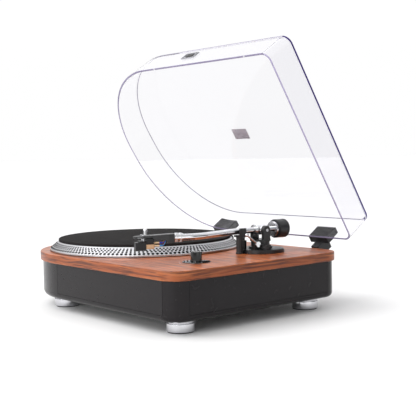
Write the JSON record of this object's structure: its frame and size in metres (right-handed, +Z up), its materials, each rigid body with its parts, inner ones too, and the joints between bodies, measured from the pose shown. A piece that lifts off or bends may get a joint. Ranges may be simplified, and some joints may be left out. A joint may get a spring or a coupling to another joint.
{
  "type": "record player",
  "caption": "Belt-driven record player: D-shaped wood-topped plinth, bevelled platter with mat, S-shaped tonearm and a hinged clear dust cover that stands open.",
  "frame": {"origin": "middle of the whole outline seen from above, cover standing open, at the height of the foot pads' undersides", "axes": "+X to the tonearm side, +Y to the hinges at the back, +Z up along the spindle"},
  "size_m": [0.463, 0.4136, 0.4209],
  "materials": {
    "walnut_board": "satin clear lacquer over a straight walnut-tone grain",
    "black_case": "fine matt black coating",
    "black_trim": "satin black moulding",
    "gloss_black": "polished black",
    "turned_aluminium": "fine turned satin",
    "pad_rubber": "soft matt",
    "steel_screws": "zinc plated",
    "platter_alloy": "machined, bright bevel",
    "mat_rubber": "ribbed matt",
    "spindle_steel": "polished",
    "bearing_brass": "machined",
    "motor_steel": "plated can",
    "belt_rubber": "smooth ground",
    "board_green": "solder mask",
    "socket_white": "moulded ring on a plated barrel",
    "socket_red": "moulded ring on a plated barrel",
    "arm_black": "satin black paint",
    "arm_chrome": "mirror plated",
    "headshell_black": "satin black paint",
    "cartridge_tan": "moulded",
    "stylus_black": "moulded",
    "lead_colours": "insulated wire, one colour each",
    "weight_black": "satin black paint",
    "dial_silver": "turned, fine knurl",
    "clear_cover": "clear acrylic with violet edges",
    "badge_silver": "plain plate",
    "label_grey": "plain film",
    "clear_rubber": "soft clear"
  },
  "bodies": {
    "plinth": {"top_board": "walnut_board", "base_shell": "black_case", "front_panel": "black_case", "right_panel": "black_case", "rear_panel": "black_case", "bottom_tray": "black_case", "foot_front_left": "turned_aluminium", "foot_front_right": "turned_aluminium", "foot_rear_left": "turned_aluminium", "foot_rear_right": "turned_aluminium", "foot_pads": "pad_rubber", "foot_bolts": "steel_screws", "tray_screws": "steel_screws", "board_screws": "steel_screws", "m3_screws": "steel_screws", "bearing_housing": "bearing_brass", "bearing_bush": "bearing_brass", "thrust_ball": "spindle_steel", "motor": "motor_steel", "drive_belt": "belt_rubber", "circuit_board": "board_green", "rca_left": "socket_white", "rca_right": "socket_red", "power_inlet": "black_trim", "tonearm_base": "arm_black", "arm_rest": "black_trim", "selector_plate": "gloss_black", "selector_switch": "motor_steel", "hinge_base_left": "black_trim", "hinge_base_right": "black_trim", "hinge_pins": "steel_screws", "hinge_screws": "steel_screws"},
    "platter": {"platter": "platter_alloy", "platter_mat": "mat_rubber", "spindle": "spindle_steel"},
    "rotor": {"motor_shaft": "steel_screws", "motor_pulley": "bearing_brass"},
    "yoke": {"tonearm_yoke": "arm_black", "pivot_screws": "steel_screws"},
    "arm": {"tonearm_tube": "arm_chrome", "headshell": "headshell_black", "cartridge_body": "cartridge_tan", "stylus_assembly": "stylus_black", "cartridge_screws": "steel_screws", "headshell_leads": "lead_colours"},
    "collar": {"lock_collar": "arm_chrome"},
    "weight": {"counterweight": "weight_black"},
    "dial": {"tracking_dial": "dial_silver"},
    "cue_lever": {"cue_lever": "arm_chrome"},
    "lift_bar": {"lift_bar": "black_trim"},
    "anti_skate": {"anti_skate_knob": "black_trim"},
    "selector": {"selector_knob": "black_trim", "selector_shaft": "steel_screws"},
    "cover": {"dust_cover": "clear_cover", "cover_badge": "badge_silver", "cover_label": "label_grey", "cover_bumpers": "clear_rubber", "hinge_arm_left": "black_trim", "hinge_arm_right": "black_trim"}
  },
  "joints": [
    {"name": "cover_hinge", "type": "hinge", "parent": "plinth", "child": "cover", "pos_m": [0.0325, 0.16, 0.075], "axis": [-1, 0, 0], "range_deg": [-57, 0]},
    {"name": "platter_spin", "type": "hinge", "parent": "plinth", "child": "platter", "pos_m": [-0.06, -0.036, 0.1], "axis": [0, 0, -1], "continuous": true},
    {"name": "motor_spin", "type": "hinge", "parent": "plinth", "child": "rotor", "pos_m": [-0.146, 0.036, 0.095], "axis": [0, 0, -1], "continuous": true},
    {"name": "tonearm_swing", "type": "hinge", "parent": "plinth", "child": "yoke", "pos_m": [0.14, 0.043, 0.126], "axis": [0, 0, -1], "range_deg": [0, 50]},
    {"name": "tonearm_lift", "type": "hinge", "parent": "yoke", "child": "arm", "pos_m": [0.14, 0.043, 0.126], "axis": [-0.9993, 0.0384, 0], "range_deg": [0, 10]},
    {"name": "headshell_lock", "type": "hinge", "parent": "arm", "child": "collar", "pos_m": [0.15413, -0.13574, 0.12802], "axis": [-0.4099, -0.9121, 0.0105], "range_deg": [0, 60]},
    {"name": "counterweight_turn", "type": "hinge", "parent": "arm", "child": "weight", "pos_m": [0.14157, 0.08397, 0.12554], "axis": [-0.0384, -0.9992, 0.0113], "continuous": true},
    {"name": "tracking_dial_turn", "type": "hinge", "parent": "arm", "child": "dial", "pos_m": [0.14104, 0.06998, 0.12569], "axis": [-0.0384, -0.9992, 0.0113], "continuous": true},
    {"name": "cue_lever_turn", "type": "hinge", "parent": "plinth", "child": "cue_lever", "pos_m": [0.156, 0.017, 0.106], "axis": [1, 0, 0], "range_deg": [0, 30]},
    {"name": "lift_bar_slide", "type": "slide", "parent": "plinth", "child": "lift_bar", "axis": [0, 0, 1], "range_m": [-0.003, 0]},
    {"name": "anti_skate_turn", "type": "hinge", "parent": "plinth", "child": "anti_skate", "pos_m": [0.1645, 0.0316, 0.1], "axis": [0, 0, 1], "range_deg": [0, 270]},
    {"name": "selector_turn", "type": "hinge", "parent": "plinth", "child": "selector", "pos_m": [0.167, -0.113, 0.1], "axis": [0, 0, -1], "range_deg": [0, 90]}
  ],
  "couplings": [
    {"joint": "motor_spin", "follows": "platter_spin", "ratio": 15.044},
    {"joint": "lift_bar_slide", "follows": "cue_lever_turn", "m_per_rad": -0.0057}
  ]
}
